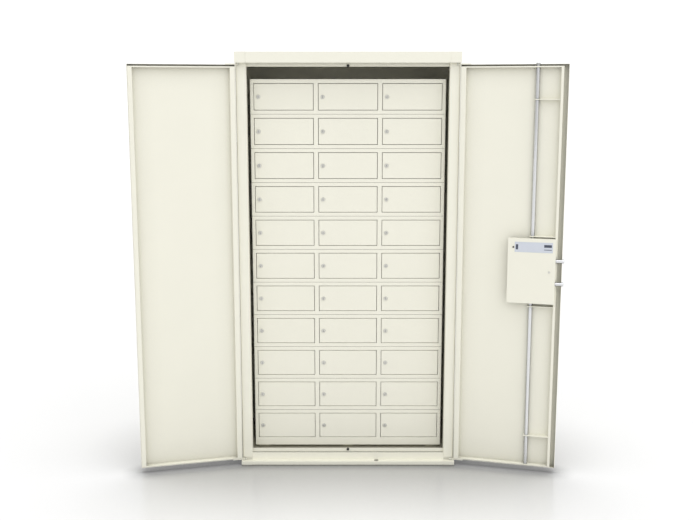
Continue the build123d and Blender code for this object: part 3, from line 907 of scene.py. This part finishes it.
    def handle(self) -> None:
        """Cast the front handle and turn its rose."""
        low, high = self.hinge.closed_box("door_handle")
        z = (low.z + high.z) / 2
        x = low.x + self.hub_radius
        lever = Bench.block("lever", (x - 9 * MM, low.y, z - 9 * MM),
                            (high.x, low.y + 12 * MM, z + 9 * MM))
        Bench.round_edges(lever, 4.5 * MM, 5)
        hub = Bench.bar("hub", (x, low.y, z), (x, low.y + 25 * MM, z), self.hub_radius, 48)
        Bench.round_edges(hub, 2.5 * MM, 4)
        spindle = Bench.bar("spindle", (x, low.y + 20 * MM, z), (x, high.y, z), 5.0 * MM)
        Bench.round_edges(spindle, 0.5 * MM, 2)
        piece = Bench.join("door_handle_lever", [lever, hub, spindle])
        self.hinge.open_out(piece)
        fit_up(Bench.dress(piece, Finishes.CHROME), "handle", CHROME_SLOT, "door_handle")

        parts = islands("lock_case", self.hinge.turn(-self.hinge.angle))
        rose, case = sorted(parts, key=lambda b: b[1].z - b[0].z)
        plate = Bench.bar("rose", (x, rose[0].y, z), (x, rose[1].y, z), self.rose_radius, 64)
        Bench.round_edges(plate, 2.0 * MM, 4)
        Bench.drill(plate, (x, rose[0].y - PAST, z), (x, rose[1].y + PAST, z),
                    self.spindle_bore)
        plate.name = "door_handle_rose"
        self.hinge.open_out(plate)
        fit_up(Bench.dress(plate, Finishes.CHROME), self.body, CHROME_SLOT, "lock_case")
        shell = Bench.block("lock_case_body", *case)
        Bench.round_edges(shell, 1.2 * MM)
        Bench.drill(shell, (x, case[0].y - PAST, z), (x, case[1].y + PAST, z),
                    self.spindle_bore)
        self.hinge.open_out(shell)
        fit_up(Bench.dress(shell, Finishes.ZINC), self.body, ZINC_SLOT, "lock_case")

    def build(self) -> None:
        """Build the bolt work."""
        self.rods()
        self.guides()
        self.deadbolts()
        self.cover()
        self.handle()


# ---- compartment bank ----------------------------------------------------------------
@dataclass
class Bank:
    """The bank of compartments: face frame, carcass, leaves with their locks, outlets."""

    rows: int = 11
    columns: int = 3
    gap: float = 2.3 * MM
    wall: float = 1.2 * MM
    lock_radius: float = 9.5 * MM
    lock_from_edge: float = 20.0 * MM
    lock_proud: float = 3.5 * MM
    barrel: tuple[float, float] = (7.0 * MM, 10.0 * MM)
    opening_high: float = 120.3 * MM
    side_gap: float = 0.8 * MM
    row_seam: float = 0.4 * MM

    def cell(self, row: int, column: int) -> tuple[Vector, Vector]:
        """Return a compartment's opening in the face frame, counted from the top left."""
        low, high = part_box(f"locker_door_r{row + 1:02d}_c{column + 1}")
        hinge = next(j for j in frame["joints"]
                     if j["name"] == f"locker_door_r{row + 1:02d}_c{column + 1}_hinge")
        pin = hinge["pos_m"][2]
        half = self.opening_high / 2
        return (Vector((low.x - self.side_gap, low.y, pin - half)),
                Vector((high.x + self.side_gap, high.y, pin + half)))

    def face(self) -> None:
        """Cut three windows in each row's face plate, and stand the rows on each other."""
        low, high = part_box("bank_face_frame")
        made = []
        cells = [[self.cell(r, c) for c in range(self.columns)] for r in range(self.rows)]
        for r, row in enumerate(cells):
            top = high.z if r == 0 else (
                (cells[r - 1][0][0].z + row[0][1].z) / 2 - self.row_seam)
            foot = low.z if r == self.rows - 1 else (
                (cells[r + 1][0][1].z + row[0][0].z) / 2 + self.row_seam)
            plate = Bench.block("face", (low.x, low.y, foot), (high.x, high.y, top))
            Bench.window(plate, [(c[0].x, c[1].x) for c in row], (row[0][0].z, row[0][1].z))
            Bench.round_edges(plate, 0.9 * MM, 2)
            made.append(plate)
        piece = Bench.join("bank_face_plates", made)
        fit_up(Bench.dress(piece, Finishes.POWDER_COAT), "cabinet", COAT_SLOT,
               "bank_face_frame")

    def leaf(self) -> bpy.types.Object:
        """Fold the first compartment's leaf, to be copied to the others."""
        low, high = self.cell(0, 0)
        edge = Vector((self.gap, 0, self.gap))
        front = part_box("locker_door_r01_c1")[0].y + self.lock_proud
        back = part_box("locker_door_r01_c1")[1].y
        piece = Bench.block("leaf", (low.x + edge.x, front, low.z + edge.z),
                            (high.x - edge.x, back, high.z - edge.z))
        Bench.hollow(piece, lambda c, n: n.y > 0.9, self.wall,
                     Vector((0, front - back + self.wall, 0)))
        Bench.round_edges(piece, 0.55 * MM, 2)
        return Bench.dress(piece, Finishes.POWDER_COAT)

    def lock(self) -> bpy.types.Object:
        """Model the first compartment's cam lock: flange, plug, keyway and barrel."""
        low, high = self.cell(0, 0)
        x, z = low.x + self.side_gap + self.lock_from_edge, (low.z + high.z) / 2
        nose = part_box("locker_door_r01_c1")[0].y
        seat = nose + self.lock_proud
        flange = Bench.bar("flange", (x, nose, z), (x, seat, z), self.lock_radius, 48)
        Bench.round_edges(flange, 1.5 * MM, 3)
        Bench.pick(flange, lambda c, n: n.y < -0.99 and abs(c.x - x) < 1e-4)
        bpy.ops.mesh.inset(thickness=2.4 * MM, depth=0.0)
        bpy.ops.mesh.extrude_region_move(
            TRANSFORM_OT_translate={"value": Vector((0, 0.9 * MM, 0))})
        bpy.ops.mesh.inset(thickness=0.35 * MM, depth=0.0)
        bpy.ops.mesh.extrude_region_move(
            TRANSFORM_OT_translate={"value": Vector((0, -0.6 * MM, 0))})
        Bench.put_down()
        slot = Bench.block("slot", (x - 1.0 * MM, nose - 2.0 * MM, z - 4.0 * MM),
                           (x + 1.0 * MM, nose + 2.6 * MM, z + 4.0 * MM))
        Bench.carve(flange, slot)
        barrel = Bench.bar("barrel", (x, seat - 0.2 * MM, z), (x, seat + self.barrel[1], z),
                           self.barrel[0])
        Bench.round_edges(barrel, 0.6 * MM, 2)
        piece = Bench.join("cam_lock", [flange, barrel])
        bpy.ops.object.shade_smooth_by_angle(angle=SMOOTH_UNDER)
        return Bench.dress(piece, Finishes.NICKEL)

    def doors(self) -> None:
        """Copy the leaf and its lock to every compartment."""
        leaf, lock = self.leaf(), self.lock()
        first = self.cell(0, 0)[0]
        for row in range(self.rows):
            for column in range(self.columns):
                tag = f"r{row + 1:02d}_c{column + 1}"
                shift = self.cell(row, column)[0] - first
                body, node = f"locker_{tag}", f"locker_door_{tag}"
                twin = Bench.copy(leaf, f"compartment_leaf_{tag}", shift)
                fit_up(twin, body, COAT_SLOT, node)
                fit_up(Bench.copy(lock, f"cam_lock_{tag}", shift), body, ZINC_SLOT, node)
        for piece in (leaf, lock):
            bpy.data.objects.remove(piece)

    def inside(self) -> None:
        """Dress what the CAD model already shapes well enough inside the bank."""
        # the carcass takes the inner coat, darkened as painted shade
        for node, finish in (
                ("bank_carcass", Finishes.SHADED_INNER_COAT), ("charging_ports", Finishes.BLACK_ABS),
                ("cable_ducts", Finishes.GREY_PVC), ("power_supplies", Finishes.ZINC),
                ("mains_inlet", Finishes.BLACK_ABS), ("hinge_pins", Finishes.ZINC)):
            Bench.dress(frame["nodes"][node], finish)

    def build(self) -> None:
        """Build the bank."""
        self.face()
        self.doors()
        self.inside()


# ---- studio --------------------------------------------------------------------------
@dataclass
class Studio:
    """White floor with a painted shadow, soft lights and the camera."""

    focal_mm: float = 50.0
    pitch: float = 0.172
    camera_place: tuple[float, float, float] = (-0.0067, -4.330, 1.727)
    key_way: tuple[float, float, float] = (0.15, -0.20, 0.97)
    room_light: tuple[float, float] = (0.59, 1.72)
    room_back: float = 1.10
    # reach of the floor's painted shadow, broad and close, and how sharply the close one darkens
    shadow_reach: tuple[float, float] = (0.8, 0.10)
    contact_power: float = 2.5

    def floor(self) -> None:
        """Lay a large glossy white floor, darkened near and under the cabinet by a painted
        shadow.
        """
        Bench.clear()
        bpy.ops.mesh.primitive_plane_add(size=60.0, location=(0, 0, -0.0005))
        floor = bpy.context.object
        floor.name = "studio_floor"
        made = bpy.data.materials.new("white_floor_painted_shadow")
        made.use_nodes = True
        tree = made.node_tree
        tree.nodes.clear()
        # painted shadow: ambient occlusion darkens the floor's colour towards near black,
        # broadly near the cabinet and strongly in a contact line under it
        wide = add_node(tree, "ShaderNodeAmbientOcclusion", {
            "Distance": self.shadow_reach[0]}, samples=16).outputs["AO"]
        close = add_node(tree, "ShaderNodeAmbientOcclusion", {
            "Distance": self.shadow_reach[1]}, samples=16).outputs["AO"]
        near = add_node(tree, "ShaderNodeMath", {0: close, 1: self.contact_power},
                        operation="POWER").outputs["Value"]
        depth = add_node(tree, "ShaderNodeMath", {0: wide, 1: near},
                         operation="MULTIPLY").outputs["Value"]
        colour = add_node(tree, "ShaderNodeMix", {
            "Factor": depth, "A": linear("0C0C0C"), "B": linear("E4E4E4")},
            data_type="RGBA").outputs["Result"]
        shader = add_node(tree, "ShaderNodeBsdfPrincipled", {
            "Base Color": colour, "Roughness": 0.25})
        add_node(tree, "ShaderNodeOutputMaterial", {"Surface": shader.outputs["BSDF"]})
        floor.data.materials.append(made)

    def light(self, name: str, place: Vector, size: float, power: float) -> None:
        """Add a square soft light that looks at the cabinet's middle.

        Args:
            name: the light's name.
            place: where it hangs.
            size: its side.
            power: its watts.
        """
        data = bpy.data.lights.new(name, "AREA")
        data.size, data.energy = size, power
        lamp = bpy.data.objects.new(name, data)
        bpy.context.scene.collection.objects.link(lamp)
        lamp.location = place
        aim = Vector((0, 0, 0.9)) - Vector(place)
        lamp.rotation_euler = aim.to_track_quat("-Z", "Y").to_euler()

    def world(self) -> None:
        """Surround the cabinet with white light, brighter from the front right and above.

        Behind the cabinet the room is plain white.  In front of it one side is dimmer, so
        that bright metal has something to mirror.
        """
        world = bpy.data.worlds.new("white_room")
        bpy.context.scene.world = world
        world.use_nodes = True
        tree = world.node_tree
        tree.nodes.clear()
        way = add_node(tree, "ShaderNodeTexCoord", {}).outputs["Generated"]
        towards = add_node(tree, "ShaderNodeVectorMath", {
            0: way, 1: self.key_way}, operation="DOT_PRODUCT").outputs["Value"]
        front = add_node(tree, "ShaderNodeMapRange", {
            "Value": towards, "To Min": self.room_light[0],
            "To Max": self.room_light[1]})
        back = add_node(tree, "ShaderNodeSeparateXYZ", {"Vector": way}).outputs["Y"]
        share = add_node(tree, "ShaderNodeMapRange", {
            "Value": back, "From Min": 0.0, "From Max": 0.5},
            interpolation_type="SMOOTHSTEP")
        strength = add_node(tree, "ShaderNodeMix", {
            "Factor": share.outputs["Result"], 2: front.outputs["Result"], 3: self.room_back})
        shine = add_node(tree, "ShaderNodeBackground", {
            "Color": (1, 1, 1, 1), "Strength": strength.outputs[0]})
        add_node(tree, "ShaderNodeOutputWorld", {"Surface": shine.outputs["Background"]})

    def camera(self) -> None:
        """Set the camera at the height of a standing person, looking slightly down."""
        data = bpy.data.cameras.new("camera")
        data.lens, data.sensor_width = self.focal_mm, 36.0
        camera = bpy.data.objects.new("camera", data)
        bpy.context.scene.collection.objects.link(camera)
        camera.location = self.camera_place
        camera.rotation_euler = (math.pi / 2 - self.pitch, 0, 0)
        bpy.context.scene.camera = camera

    def build(self) -> None:
        """Build the studio."""
        self.camera()
        self.floor()
        self.world()
        self.light("key", Vector((2.2, -4.2, 3.4)), 1.6, 10.0)
        bpy.context.scene.view_settings.view_transform = "Standard"


def main() -> None:
    """Build the cabinet in order, then the studio."""
    logging.basicConfig(level=logging.INFO, format="%(name)s: %(message)s")
    right = CabinetDoor("right", 1, 12.0 * MM, True)
    left = CabinetDoor("left", -1, 20.0 * MM, False)
    bolts = BoltWork(right.hinge)
    rod = bolts.place("upper_bolt_rod")
    low, high = right.hinge.closed_box("door_handle")
    handle = Vector((low.x + bolts.hub_radius, low.y, (low.z + high.z) / 2))
    Shell().build(rod.x, rod.y)
    for door in (left, right):
        door.build(rod, handle)
    bolts.build()
    Bank().build()
    Studio().build()


if __name__ == "__main__":
    main()
